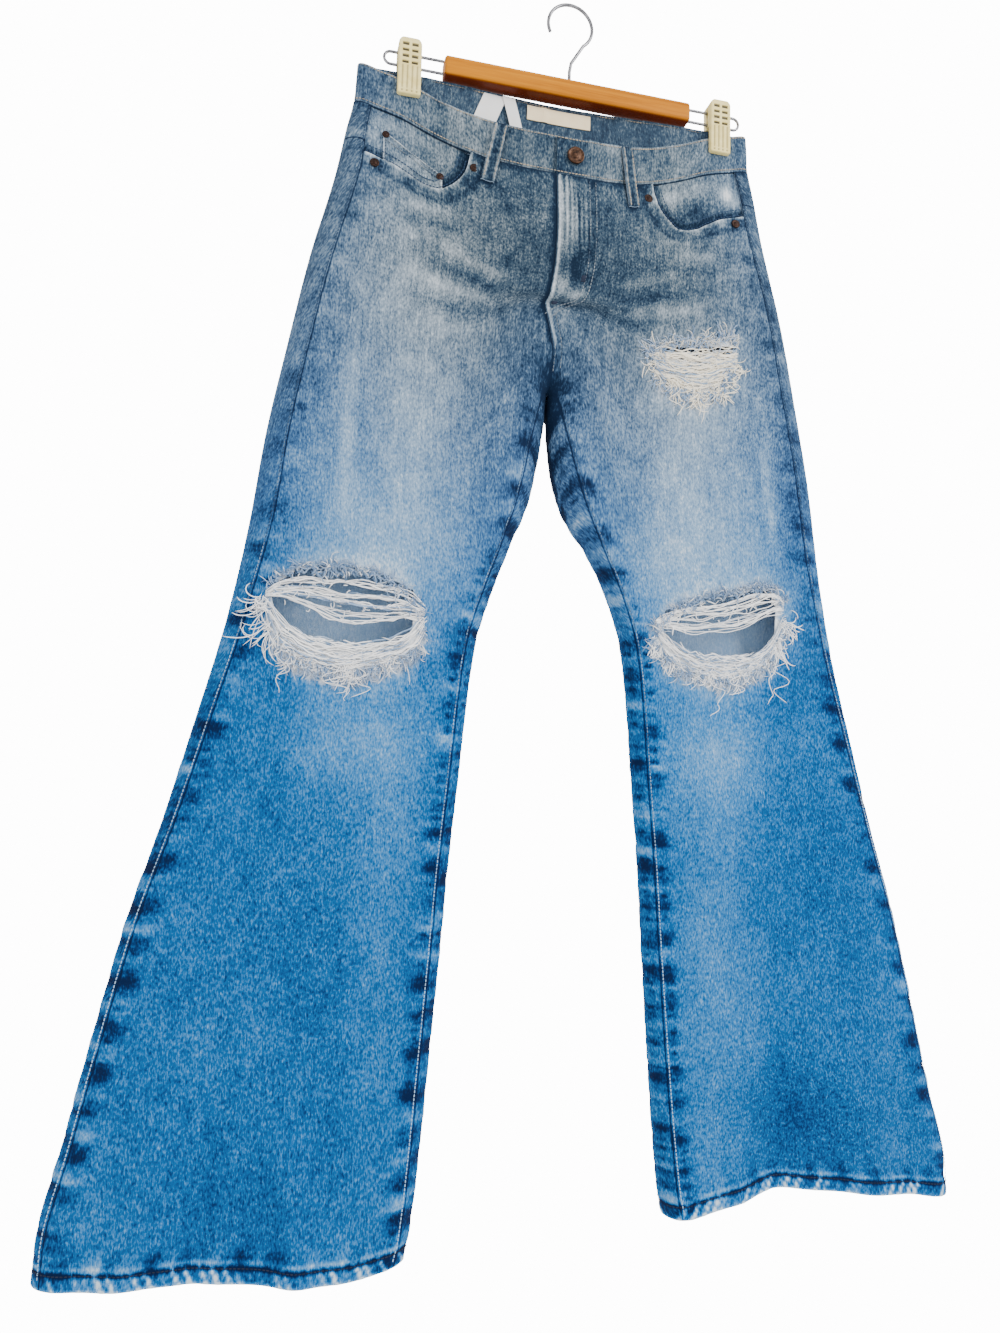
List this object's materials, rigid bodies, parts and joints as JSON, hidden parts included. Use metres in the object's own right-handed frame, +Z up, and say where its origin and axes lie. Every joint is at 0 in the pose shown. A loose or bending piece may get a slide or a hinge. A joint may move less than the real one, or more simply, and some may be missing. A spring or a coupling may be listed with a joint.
{
  "type": "bootcut jeans on a clip hanger",
  "caption": "Faded blue bootcut jeans with frayed knee and thigh rips, hung flat by the waistband from a wood bar hanger with two clips and a steel hook.",
  "frame": {"origin": "where the hanger's hook bears on its rod, under the top of the hook's bend", "axes": "+X to the viewer's right, +Y into the wall, +Z up; the jeans' front faces -Y"},
  "size_m": [0.7786, 0.0691, 1.1226],
  "materials": {
    "denim": "washed and faded twill",
    "white_weft": "frayed cotton threads",
    "label_tape": "woven cream tape",
    "copper": "aged copper",
    "dark_brass": "dark worn brass",
    "honey_wood": "clear lacquer",
    "steel": "plain drawn wire",
    "ivory_plastic": "moulded, satin"
  },
  "bodies": {
    "root": {"front_right": "denim", "front_left": "denim", "back_right": "denim", "back_left": "denim", "yoke_right": "denim", "yoke_left": "denim", "waistband_right": "denim", "waistband_left": "denim", "pocket_facing_right": "denim", "pocket_facing_left": "denim", "coin_pocket": "denim", "back_pocket_right": "denim", "back_pocket_left": "denim", "fly_shield": "denim", "belt_loop_front_right": "denim", "belt_loop_front_left": "denim", "belt_loop_back_right": "denim", "belt_loop_back_middle": "denim", "belt_loop_back_left": "denim", "knee_threads_right": "white_weft", "knee_threads_left": "white_weft", "thigh_threads_left": "white_weft", "size_label": "label_tape", "care_label_wide": "label_tape", "care_label_narrow": "label_tape", "rivet_1": "copper", "rivet_2": "copper", "rivet_3": "copper", "rivet_4": "copper", "button": "dark_brass", "hanger_bar": "honey_wood", "hanger_hook": "steel", "hanger_rail_right": "steel", "hanger_rail_left": "steel", "clip_right_front": "ivory_plastic", "clip_right_back": "ivory_plastic", "clip_left_front": "ivory_plastic", "clip_left_back": "ivory_plastic"}
  },
  "joints": []
}
